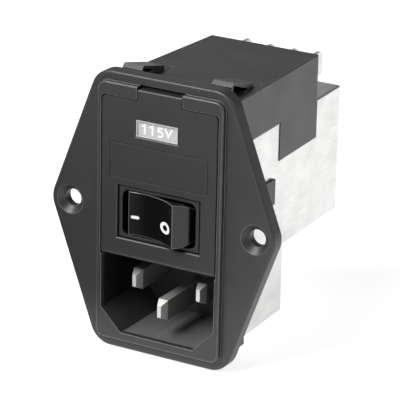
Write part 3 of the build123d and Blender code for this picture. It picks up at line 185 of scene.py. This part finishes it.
def moulded(name, low, high, edge_wear_and_highlight, roughness, grain_mm, grain_depth_mm, edge_mm=0.2):
    """Moulded, fired or coated face: two close shades drifting over some millimetres, a fine grain
    in the bump, edges with a small radius that turn to a third shade where the rounded normal
    leaves the face's own, partly edge wear and partly a painted highlight along the edges, and a
    roughness that follows the drift."""
    drift_mm, drift_low, drift_high, gloss_swing = 7.0, 0.3, 0.7, 0.04
    edge_samples, face_cosine, edge_cosine = 6, 0.995, 0.90
    material = new_finish(name, {"IOR": 1.5, "Metallic": 0.0})
    tree = material.node_tree
    where = add_node(tree, "ShaderNodeTexCoord").outputs["Object"]
    rounded = add_node(tree, "ShaderNodeBevel", {"samples": edge_samples},
                       {"Radius": edge_mm * MM})
    own = add_node(tree, "ShaderNodeNewGeometry")
    turned_by = add_node(tree, "ShaderNodeVectorMath", {"operation": "DOT_PRODUCT"},
                         links={0: rounded.outputs["Normal"], 1: own.outputs["Normal"]})
    edge = add_node(tree, "ShaderNodeMapRange",
                    values={"From Min": face_cosine, "From Max": edge_cosine},
                    links={"Value": turned_by.outputs["Value"]})
    drift = add_node(tree, "ShaderNodeTexNoise",
                     values={"Scale": 1 / (drift_mm * MM), "Detail": 2.0}, links={"Vector": where})
    shade = add_node(tree, "ShaderNodeMix", {"data_type": "RGBA"},
                     {6: hex_to_linear(low), 7: hex_to_linear(high)}, {0: drift.outputs["Fac"]})
    # Edge shade: partly wear, partly a painted highlight along the rounded edges.
    worn_and_highlit = add_node(tree, "ShaderNodeMix", {"data_type": "RGBA"}, {7: hex_to_linear(edge_wear_and_highlight)},
                    {0: edge.outputs["Result"], 6: shade.outputs[2]})
    gloss = add_node(tree, "ShaderNodeMapRange",
                     values={"From Min": drift_low, "From Max": drift_high,
                             "To Min": roughness - gloss_swing, "To Max": roughness + gloss_swing},
                     links={"Value": drift.outputs["Fac"]})
    grain = add_node(tree, "ShaderNodeTexNoise",
                     values={"Scale": 1 / (grain_mm * MM), "Detail": 3.0}, links={"Vector": where})
    bump = add_node(tree, "ShaderNodeBump",
                    values={"Strength": 1.0, "Distance": grain_depth_mm * MM},
                    links={"Height": grain.outputs["Fac"], "Normal": rounded.outputs["Normal"]})
    principled = tree.nodes["Principled BSDF"].inputs
    tree.links.new(worn_and_highlit.outputs[2], principled["Base Color"])
    tree.links.new(gloss.outputs["Result"], principled["Roughness"])
    tree.links.new(bump.outputs["Normal"], principled["Normal"])
    return material


def cover_colour(material, code, mask):
    """Lays one more shade over a finished material's own colour, where the mask says."""
    tree = material.node_tree
    colour = tree.nodes["Principled BSDF"].inputs["Base Color"]
    covered = add_node(tree, "ShaderNodeMix", {"data_type": "RGBA"}, {7: hex_to_linear(code)},
                       {0: mask, 6: colour.links[0].from_socket})
    tree.links.new(covered.outputs[2], colour)


# The housing's edges turn a light grey: partly edge wear, partly a painted highlight along them.
housing_finish = moulded("black_polyester_moulding", "#2a2a2a", "#303030", "#7c7c7d",
                         roughness=0.42, grain_mm=0.45, grain_depth_mm=0.006)
housing_tree = housing_finish.node_tree
housing_where = add_node(housing_tree, "ShaderNodeTexCoord").outputs["Object"]
in_inlet = zone_mask(housing_tree, housing_where, INLET_ZONE, INLET_BORDER)
facing = add_node(housing_tree, "ShaderNodeSeparateXYZ", links={
    "Vector": add_node(housing_tree, "ShaderNodeNewGeometry").outputs["Normal"]})
on_floor = add_node(housing_tree, "ShaderNodeMapRange",
                    values={"From Min": FLOOR_FROM, "From Max": FLOOR_FULL},
                    links={"Value": facing.outputs["Z"]})
on_back = add_node(housing_tree, "ShaderNodeMapRange",
                   values={"From Min": BACK_FROM, "From Max": BACK_FULL, "To Max": BACK_LIGHT_AND_WEAR},
                   links={"Value": facing.outputs["Y"]})
lit_floor_and_back = add_node(housing_tree, "ShaderNodeMath", {"operation": "ADD"},
                   links={0: on_floor.outputs["Result"], 1: on_back.outputs["Result"]})
plug_grid = add_node(housing_tree, "ShaderNodeMapping", values={
    "Scale": (1 / (PLUG_LINE_WIDE * MM), 1 / (PLUG_LINE_LONG * MM), 1 / (PLUG_LINE_WIDE * MM))},
    links={"Vector": housing_where})
plug_lines = add_node(housing_tree, "ShaderNodeTexNoise", values={"Scale": 1.0, "Detail": 3.0},
                      links={"Vector": plug_grid.outputs["Vector"]})
patchy = add_node(housing_tree, "ShaderNodeMapRange",
                  values={"From Min": PATCH_FROM, "From Max": PATCH_FULL, "To Min": PATCH_LEAST},
                  links={"Value": plug_lines.outputs["Fac"]})
inlet_lit_faces = add_node(housing_tree, "ShaderNodeMath", {"operation": "MULTIPLY"},
                      links={0: lit_floor_and_back.outputs["Value"], 1: in_inlet})
plug_wear_and_painted_light = add_node(housing_tree, "ShaderNodeMath", {"operation": "MULTIPLY"},
                 links={0: inlet_lit_faces.outputs["Value"], 1: patchy.outputs["Result"]})
# Painted shade: the whole inside of the inlet is darkened to near black.
cover_colour(housing_finish, "#090909", in_inlet)
# Painted light and wear: the inlet's faces that look up and forward turn grey, broken into plug
# lines.
cover_colour(housing_finish, "#606060", plug_wear_and_painted_light.outputs["Value"])
dress(housing_finish, "inlet_housing")

# Fuse door: a separate flap of black polyester that hangs on two stubs at its foot. Its tool is a
# touch smoother than the housing's, and its edges are sharper.
dress(moulded("black_door_moulding", "#272728", "#2c2c2d", "#313132",
              roughness=0.44, grain_mm=0.4, grain_depth_mm=0.005, edge_mm=0.08), "fuse_door")

# Fuse drawer: the carrier of the fuses and the voltage plug, moulded of the same polyester as the
# housing. It sits behind the door and is seen only with the door open.
dress(moulded("black_drawer_moulding", "#333334", "#393939", "#454546",
              roughness=0.40, grain_mm=0.5, grain_depth_mm=0.005), "fuse_drawer")

# Voltage plug: a light grey glass-filled moulding that can be turned round in the drawer. Its end
# face is the tag behind the door's window.
dress(moulded("grey_plug_moulding", "#b0b0b0", "#b8b8b8", "#c4c4c4",
              roughness=0.5, grain_mm=0.5, grain_depth_mm=0.004), "voltage_plug")

# Switch: the body's bezel is as satin as the door, and the mouth behind it is darkened to black as
# painted shade. The rocker comes from a polished tool and is glossy, and its edges turn a light
# grey, partly wear and partly a painted highlight. The plungers are white acetal.
MOUTH_DEPTH, MOUTH_BORDER = 0.15, 0.05
bezel_finish = moulded("black_bezel_moulding", "#272728", "#2c2c2d", "#3b3b3c",
                       roughness=0.40, grain_mm=0.5, grain_depth_mm=0.004, edge_mm=0.12)
bezel_tree = bezel_finish.node_tree
bezel_where = add_node(bezel_tree, "ShaderNodeTexCoord").outputs["Object"]
bezel_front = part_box("switch_body")[0].y / MM
# Painted shade: the bezel's mouth behind its front face is darkened to near black.
cover_colour(bezel_finish, "#040405", zone_mask(
    bezel_tree, bezel_where, [("Y", bezel_front + MOUTH_DEPTH, 1)], MOUTH_BORDER))
dress(bezel_finish, "switch_body")
# The rocker's edges turn a light grey: a painted highlight along them, partly also wear.
dress(moulded("black_polished_polycarbonate", "#030303", "#050505", "#707072",
              roughness=0.18, grain_mm=0.8, grain_depth_mm=0.0006, edge_mm=0.3), "rocker")
dress(moulded("white_acetal", "#d8d8d4", "#e2e2de", "#e8e8e4",
              roughness=0.35, grain_mm=0.6, grain_depth_mm=0.002),
      "upper_plunger", "lower_plunger")

# Filter can: deep-drawn tinned steel sheet with a satin, almost white face. The drawing leaves
# faint streaks along its depth.


def drawn_metal(name, low, high, roughness, streak_mm, streak_depth_mm, along):
    """Stamped or drawn metal: fine streaks along one axis, made from noise stretched twentyfold,
    move its shade, its roughness and a shallow bump."""
    stretched, cloud_mm, gloss_swing = 20, 6, 0.05
    streaks_low, streaks_high = 0.12, 0.38
    material = new_finish(name, {"Metallic": 1.0})
    tree = material.node_tree
    where = add_node(tree, "ShaderNodeTexCoord").outputs["Object"]
    stretch = [1.0 / (streak_mm * MM)] * 3
    stretch["XYZ".index(along)] /= stretched
    streaks = add_node(tree, "ShaderNodeMapping", values={"Scale": stretch},
                       links={"Vector": where})
    lines = add_node(tree, "ShaderNodeTexNoise", values={"Scale": 1.0, "Detail": 3.0},
                     links={"Vector": streaks.outputs["Vector"]})
    cloud = add_node(tree, "ShaderNodeTexNoise",
                     values={"Scale": 1 / (cloud_mm * MM), "Detail": 2.0}, links={"Vector": where})
    both = add_node(tree, "ShaderNodeMath", {"operation": "MULTIPLY"},
                    links={0: lines.outputs["Fac"], 1: cloud.outputs["Fac"]})
    spread = add_node(tree, "ShaderNodeMapRange",
                      values={"From Min": streaks_low, "From Max": streaks_high},
                      links={"Value": both.outputs["Value"]})
    shade = add_node(tree, "ShaderNodeMix", {"data_type": "RGBA"},
                     {6: hex_to_linear(low), 7: hex_to_linear(high)},
                     {0: spread.outputs["Result"]})
    gloss = add_node(tree, "ShaderNodeMapRange",
                     values={"To Min": roughness + gloss_swing, "To Max": roughness - gloss_swing},
                     links={"Value": spread.outputs["Result"]})
    bump = add_node(tree, "ShaderNodeBump",
                    values={"Strength": 1.0, "Distance": streak_depth_mm * MM},
                    links={"Height": lines.outputs["Fac"]})
    principled = tree.nodes["Principled BSDF"].inputs
    tree.links.new(shade.outputs[2], principled["Base Color"])
    tree.links.new(gloss.outputs["Result"], principled["Roughness"])
    tree.links.new(bump.outputs["Normal"], principled["Normal"])
    return material


dress(drawn_metal("tinned_steel_sheet", "#dadad9", "#e4e4e3",
                  roughness=0.40, streak_mm=0.35, streak_depth_mm=0.0004, along="Y"),
      "filter_can")

# Pins and blades: cut from brass strip and tin plated, bright with faint lines along their length.
# The pins' flat sides carry a painted shade, so they are duller than their tops and tips.
PIN_SIDE_FROM, PIN_SIDE_FULL = 0.8, 1.0
dress(drawn_metal("tinned_brass", "#d8d7d4", "#e8e7e4",
                  roughness=0.50, streak_mm=0.2, streak_depth_mm=0.0005, along="Y"),
      "outer_left_blade", "inner_left_blade", "inner_right_blade", "outer_right_blade",
      "earth_blade", "earth_strap")
pin_finish = drawn_metal("tinned_pin_brass", "#dedddb", "#ecebe9",
                         roughness=0.60, streak_mm=0.2, streak_depth_mm=0.0005, along="Y")
pin_tree = pin_finish.node_tree
pin_facing = add_node(pin_tree, "ShaderNodeSeparateXYZ", links={
    "Vector": add_node(pin_tree, "ShaderNodeNewGeometry").outputs["Normal"]})
pin_side = add_node(pin_tree, "ShaderNodeMath", {"operation": "ABSOLUTE"},
                    links={0: pin_facing.outputs["X"]})
pin_side_shade = add_node(pin_tree, "ShaderNodeMapRange",
                    values={"From Min": PIN_SIDE_FROM, "From Max": PIN_SIDE_FULL},
                    links={"Value": pin_side.outputs["Value"]})
# Painted shade: the pins' faces that look sideways are darkened.
cover_colour(pin_finish, "#a6a6a4", pin_side_shade.outputs["Result"])
dress(pin_finish, "left_pin", "right_pin", "earth_pin")

# Switch and fuse contacts: levers, terminals, clips and strips, stamped and bent from spring
# brass. Their faces are yellow and slightly dull, with fine rolling lines.
dress(drawn_metal("spring_brass", "#b08d4c", "#d0b06c",
                  roughness=0.32, streak_mm=0.3, streak_depth_mm=0.001, along="X"),
      "front_fuse_clips", "rear_fuse_clips", "voltage_plug_strips", "upper_contact_lever",
      "lower_contact_lever", "upper_centre_terminal", "lower_centre_terminal",
      "upper_side_terminal", "lower_side_terminal")

# Fuses: nickel-plated caps on a clear glass tube, with a silvered wire between them. The glass is
# slightly wavy, as a drawn tube is. The switch's plunger springs are wound from wire as bright.
GLASS_WAVE, GLASS_WAVE_DEPTH = 2.5, 0.004
dress(drawn_metal("nickel_plate", "#c7c2b8", "#dcd8cf",
                  roughness=0.22, streak_mm=0.4, streak_depth_mm=0.001, along="Y"),
      "left_fuse_caps", "right_fuse_caps")
dress(drawn_metal("drawn_wire", "#b9b9bb", "#d3d3d4",
                  roughness=0.3, streak_mm=0.2, streak_depth_mm=0.001, along="Y"),
      "left_fuse_wire", "right_fuse_wire", "upper_plunger_spring", "lower_plunger_spring")
tube_glass = new_finish("fuse_tube_glass", {
    "Base Color": hex_to_linear("#fafdfd"), "IOR": 1.5, "Roughness": 0.03,
    "Transmission Weight": 1.0, "Metallic": 0.0})
tube_tree = tube_glass.node_tree
tube_waves = add_node(tube_tree, "ShaderNodeTexNoise", values={"Scale": 1 / (GLASS_WAVE * MM)},
                      links={"Vector": add_node(tube_tree, "ShaderNodeTexCoord").outputs["Object"]})
tube_bump = add_node(tube_tree, "ShaderNodeBump",
                     values={"Strength": 1.0, "Distance": GLASS_WAVE_DEPTH * MM},
                     links={"Height": tube_waves.outputs["Fac"]})
tube_normal = tube_tree.nodes["Principled BSDF"].inputs["Normal"]
tube_tree.links.new(tube_bump.outputs["Normal"], tube_normal)
dress(tube_glass, "left_fuse_glass", "right_fuse_glass")

# Filter board and its parts: green laminate, a dark fired ferrite ring wound with enamelled
# copper, lacquered capacitors and resistor. All stand inside the can.
dress(moulded("glass_epoxy_laminate", "#2c5233", "#38643f", "#7d8f5a",
              roughness=0.35, grain_mm=0.6, grain_depth_mm=0.004), "filter_board")
dress(moulded("fired_ferrite", "#2c2c2f", "#39393c", "#48484b",
              roughness=0.55, grain_mm=0.4, grain_depth_mm=0.02), "choke_core")
dress(drawn_metal("enamelled_copper", "#9a4a22", "#b86331",
                  roughness=0.3, streak_mm=0.8, streak_depth_mm=0.03, along="Y"),
      "left_winding", "right_winding")
dress(moulded("yellow_capacitor_case", "#c7a53a", "#d2b149", "#dbbf63",
              roughness=0.3, grain_mm=0.7, grain_depth_mm=0.004), "x_capacitor")
dress(moulded("blue_dip_coat", "#1f4f94", "#2a5da5", "#3669b0",
              roughness=0.25, grain_mm=1.5, grain_depth_mm=0.05),
      "left_y_capacitor", "right_y_capacitor")
dress(moulded("resistor_lacquer", "#b59b78", "#c3aa87", "#cdb697",
              roughness=0.3, grain_mm=1.0, grain_depth_mm=0.01), "bleed_resistor")

# Leads: stranded copper in soft extruded insulation, brown for line and blue for neutral. They
# join pins, board, switch and fuse clips inside the module.
dress(moulded("brown_insulation", "#5a3422", "#643c28", "#6e4631",
              roughness=0.45, grain_mm=0.8, grain_depth_mm=0.004),
      "right_pin_lead", "right_fuse_lead", "upper_switch_lead")
dress(moulded("blue_insulation", "#28508e", "#305a9a", "#3b65a5",
              roughness=0.45, grain_mm=0.8, grain_depth_mm=0.004),
      "left_pin_lead", "left_fuse_lead", "lower_switch_lead")

# Rim of the tag: a fine raised border round the voltage mark, moulded in one with the plug. It
# stands a third of a millimetre proud of the tag's face.
RIM_WIDTH, RIM_PROUD, RIM_SINK = 0.15, 0.35, 0.05
TAG_LOW, TAG_HIGH = np.array([-4.95, 15.65]), np.array([3.91, 18.79])
tag_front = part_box("voltage_plug")[0].y / MM


def add_surface(name, points, faces, material, body):
    """Closed piece from numpy points in millimetres and faces of point numbers, riding a body."""
    mesh = bpy.data.meshes.new(name)
    mesh.from_pydata((points * MM).tolist(), [], faces)
    mesh.update()
    mesh.materials.append(material)
    piece = bpy.data.objects.new(name, mesh)
    bpy.context.scene.collection.objects.link(piece)
    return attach(piece, body)


def ring_band(inner, outer, below, above):
    """Closed band between two outlines of n points each: inner and outer give the points on the
    surface, below and above how far the band's back and front lie along each point's own normal.
    Both outlines are arrays of n rows: x, y, z, then the normal. The first n faces are the inner
    wall."""
    count = len(inner)
    rows = [outline[:, :3] + offset * outline[:, 3:] for outline, offset in
            ((inner, below), (inner, above), (outer, above), (outer, below))]
    here = np.arange(count)
    after = (here + 1) % count
    faces = [np.stack([row * count + here, row * count + after,
                       (row + 1) % 4 * count + after, (row + 1) % 4 * count + here], axis=1)
             for row in range(4)]
    return np.concatenate(rows), np.concatenate(faces).tolist()


def tag_outline(inset):
    """Rectangle of the tag's face, drawn in by inset, with the normal towards -Y."""
    (x0, z0), (x1, z1) = TAG_LOW + inset, TAG_HIGH - inset
    return np.array([(x0, tag_front, z0, 0, -1, 0), (x1, tag_front, z0, 0, -1, 0),
                     (x1, tag_front, z1, 0, -1, 0), (x0, tag_front, z1, 0, -1, 0)])


rim_finish = moulded("grey_rim_moulding", "#b4b4b4", "#bcbcbc", "#c4c4c4",
                     roughness=0.45, grain_mm=0.4, grain_depth_mm=0.003, edge_mm=0.05)
rim = add_surface("voltage_tag_rim", *ring_band(tag_outline(RIM_WIDTH), tag_outline(0.0),
                                                -RIM_SINK, RIM_PROUD), rim_finish, "module")

# Voltage mark: the figures 115V in a light raised print on the tag. Each figure is one or two
# strokes of even width along a path, in millimetres from the mark's lower left corner. The bowl of
# the 5 stands a little higher than the stroke it crosses.
MARK_LEFT, MARK_LOW, STROKE, MARK_SINK, MARK_PROUD = -3.97, 16.18, 0.44, 0.04, 0.05
BOWL_X, BOWL_Z, BOWL_WIDE, BOWL_HIGH, BOWL_RAISED = 3.96, 0.62, 0.56, 0.54, 0.01
BOWL_SWEEP, BOWL_POINTS = 140, 24
bowl_turn = np.radians(np.linspace(BOWL_SWEEP, -BOWL_SWEEP, BOWL_POINTS))
bowl_path = np.stack([BOWL_X + BOWL_WIDE * np.cos(bowl_turn),
                      BOWL_Z + BOWL_HIGH * np.sin(bowl_turn)], axis=1)
FIGURES = {  # path, how much the stroke is raised
    "figure_1_first": ([(0.02, 1.52), (0.71, 1.86), (0.71, 0.0)], 0.0),
    "figure_1_second": ([(1.66, 1.52), (2.36, 1.86), (2.36, 0.0)], 0.0),
    "figure_5_top": ([(4.56, 1.76), (3.66, 1.76), (3.55, 0.90)], 0.0),
    "figure_5_bowl": (bowl_path, BOWL_RAISED),
    "figure_V": ([(5.02, 1.98), (5.78, 0.42), (6.54, 1.98)], 0.0)}


def stroke(path, width):
    """Left and right sides of a stroke along a path: the mitred offset at each point is
    width / 2 * (n1 + n2) / (1 + n1.n2), with n1 and n2 the unit normals of the runs that meet
    there."""
    path = np.asarray(path, dtype=float)
    runs = np.diff(path, axis=0)
    normals = np.stack([-runs[:, 1], runs[:, 0]], axis=1) / np.linalg.norm(runs, axis=1)[:, None]
    first, second = np.vstack([normals[:1], normals]), np.vstack([normals, normals[-1:]])
    mitre = (first + second) / (1 + (first * second).sum(1))[:, None] * width / 2
    return path + mitre, path - mitre


def printed_figure(path, raised):
    """Closed prism of one stroke on the tag: the stroke's left and right sides at its front, then
    at its back, give four rows of points. Strips of quads join the rows, and a quad closes each
    end."""
    sides = stroke(path, STROKE)
    count = len(path)
    rows = [np.stack([side[:, 0] + MARK_LEFT, np.full(count, depth), side[:, 1] + MARK_LOW], axis=1)
            for depth in (tag_front - MARK_PROUD - raised, tag_front + MARK_SINK + raised)
            for side in sides]
    here = np.arange(count - 1)
    strips = [np.stack([one * count + here, one * count + here + 1,
                        other * count + here + 1, other * count + here], axis=1)
              for one, other in ((1, 0), (0, 2), (2, 3), (3, 1))]
    first_end = np.array([0, 2, 3, 1]) * count
    last_end = np.array([1, 2, 4, 3]) * count - 1
    return np.concatenate(rows), np.vstack([*strips, first_end, last_end]).tolist()


figure_finish = moulded("light_raised_print", "#dcdcda", "#e2e2e0", "#e8e8e6",
                        roughness=0.45, grain_mm=0.3, grain_depth_mm=0.002, edge_mm=0.03)
for figure_name, (figure_path, figure_raised) in FIGURES.items():
    figure = add_surface(figure_name, *printed_figure(figure_path, figure_raised),
                         figure_finish, "module")

# Rocker marks: a white printed bar on the end that is pressed in and a white ring on the other
# end. Both follow the rocker's dish, an arc about an upright axis in front of its face.
PIVOT = np.array([0.0, 0.5, 0.2])
TILT, DISH_R, DISH_Y = math.radians(12.0), 13.04, -4.2
PRINT_SINK, PRINT_PROUD = 0.03, 0.02
OUTLINE_POINTS = 72
RING_X, RING_Z, RING_HOLE, RING_HALF = 3.08, -1.0, (0.72, 0.56), (1.48, 1.14)
BAR_X, BAR_Z, BAR_HALF, BAR_EDGE, BAR_CORNER = -4.25, -0.72, (0.80, 0.29), 0.03, 0.35


def on_dish(across, high):
    """Points of the dish for places across and high in the rocker's own frame, each with its
    normal: y = DISH_Y - DISH_R + sqrt(DISH_R^2 - across^2), then turned by TILT about the pivot."""
    deep = DISH_Y - DISH_R + np.sqrt(DISH_R ** 2 - across ** 2)
    lean = np.arcsin(across / DISH_R)
    flat_x, flat_y = -np.sin(lean), -np.cos(lean)
    x = across * math.cos(TILT) + deep * math.sin(TILT)
    y = -across * math.sin(TILT) + deep * math.cos(TILT)
    normal_x = flat_x * math.cos(TILT) + flat_y * math.sin(TILT)
    normal_y = -flat_x * math.sin(TILT) + flat_y * math.cos(TILT)
    return np.stack([x + PIVOT[0], y + PIVOT[1], high + PIVOT[2],
                     normal_x, normal_y, np.zeros_like(x)], axis=1)


print_finish = moulded("white_pad_print", "#dededc", "#e8e8e6", "#eeeeec",
                       roughness=0.35, grain_mm=0.3, grain_depth_mm=0.002, edge_mm=0.02)
turn = np.linspace(0, 2 * math.pi, OUTLINE_POINTS, endpoint=False)
ring_inner, ring_outer = (
    on_dish(RING_X + wide * np.cos(turn), RING_Z + tall * np.sin(turn))
    for wide, tall in (RING_HOLE, RING_HALF))
add_surface("off_ring", *ring_band(ring_inner, ring_outer, -PRINT_SINK, PRINT_PROUD),
            print_finish, "rocker_body")

# The bar's corners are round: its outline is cos^n across and sin^n up, with a small n.
bar_across = np.sign(np.cos(turn)) * np.abs(np.cos(turn)) ** BAR_CORNER
bar_high = np.sign(np.sin(turn)) * np.abs(np.sin(turn)) ** BAR_CORNER
bar_inner, bar_outer = (
    on_dish(BAR_X + (BAR_HALF[0] - inset) * bar_across, BAR_Z + (BAR_HALF[1] - inset) * bar_high)
    for inset in (BAR_EDGE, 0.0))
bar_points, bar_faces = ring_band(bar_inner, bar_outer, -PRINT_SINK, PRINT_PROUD)
bar_back = list(range(OUTLINE_POINTS - 1, -1, -1))
bar_front = list(range(OUTLINE_POINTS, 2 * OUTLINE_POINTS))
add_surface("on_bar", bar_points, bar_faces[OUTLINE_POINTS:] + [bar_back, bar_front],
            print_finish, "rocker_body")

# Table: a wide matt white sheet just under the module. It glows a little, so that it stays as
# white as the ground of the photograph under its faint shadow.
TABLE_GAP, TABLE_REACH, TABLE_GLOW = 0.2, 4.0, 0.8
table_z = cad_box[0].z - TABLE_GAP * MM


def flat_sheet(name, corners, height, material):
    """A flat sheet of the studio from its corners in metres, anticlockwise as seen from above."""
    mesh = bpy.data.meshes.new(name)
    mesh.from_pydata([(x, y, height) for x, y in corners], [], [tuple(range(len(corners)))])
    mesh.materials.append(material)
    sheet = bpy.data.objects.new(name, mesh)
    bpy.context.scene.collection.objects.link(sheet)
    return sheet


table_paint = new_finish("pale_table", {
    "Base Color": hex_to_linear("#bcbcbc"), "Roughness": 0.9,
    "Emission Color": hex_to_linear("#ffffff"), "Emission Strength": TABLE_GLOW})
table = flat_sheet("table", [(-TABLE_REACH, -TABLE_REACH), (TABLE_REACH, -TABLE_REACH),
                             (TABLE_REACH, TABLE_REACH), (-TABLE_REACH, TABLE_REACH)],
                   table_z, table_paint)

# Dark card on the table in front of the module's left. The lens doesn't see it and it throws no
# shadow. The flange and the hollow of the rocker mirror it, and so stay as dark as in the
# photograph. It is grey at its right border and black further left.
CARD_LIFT = 0.05
CARD_CORNERS = [(-0.026, -0.016), (-0.048, 0.014), (-0.220, 0.040), (-0.220, -0.190),
                (-0.024, -0.190), (-0.006, -0.062), (0.001, -0.026)]
FADE_ALONG, FADE_FROM, FADE_TO = (-0.82, 0.57, 0.0), -0.030, 0.004
card_paint = new_finish("dark_paper", {"Roughness": 0.9})
card_tree = card_paint.node_tree
along_card = add_node(card_tree, "ShaderNodeVectorMath", {"operation": "DOT_PRODUCT"},
                      {1: FADE_ALONG},
                      {0: add_node(card_tree, "ShaderNodeTexCoord").outputs["Object"]})
fade = add_node(card_tree, "ShaderNodeMapRange",
                values={"From Min": FADE_FROM, "From Max": FADE_TO},
                links={"Value": along_card.outputs["Value"]})
card_shade = add_node(card_tree, "ShaderNodeMix", {"data_type": "RGBA"},
                      {6: hex_to_linear("#808080"), 7: hex_to_linear("#0a0a0a")},
                      {0: fade.outputs["Result"]})
card_tree.links.new(card_shade.outputs[2], card_tree.nodes["Principled BSDF"].inputs["Base Color"])
card = flat_sheet("dark_card", CARD_CORNERS, table_z + CARD_LIFT * MM, card_paint)
card.visible_camera = False
card.visible_shadow = False
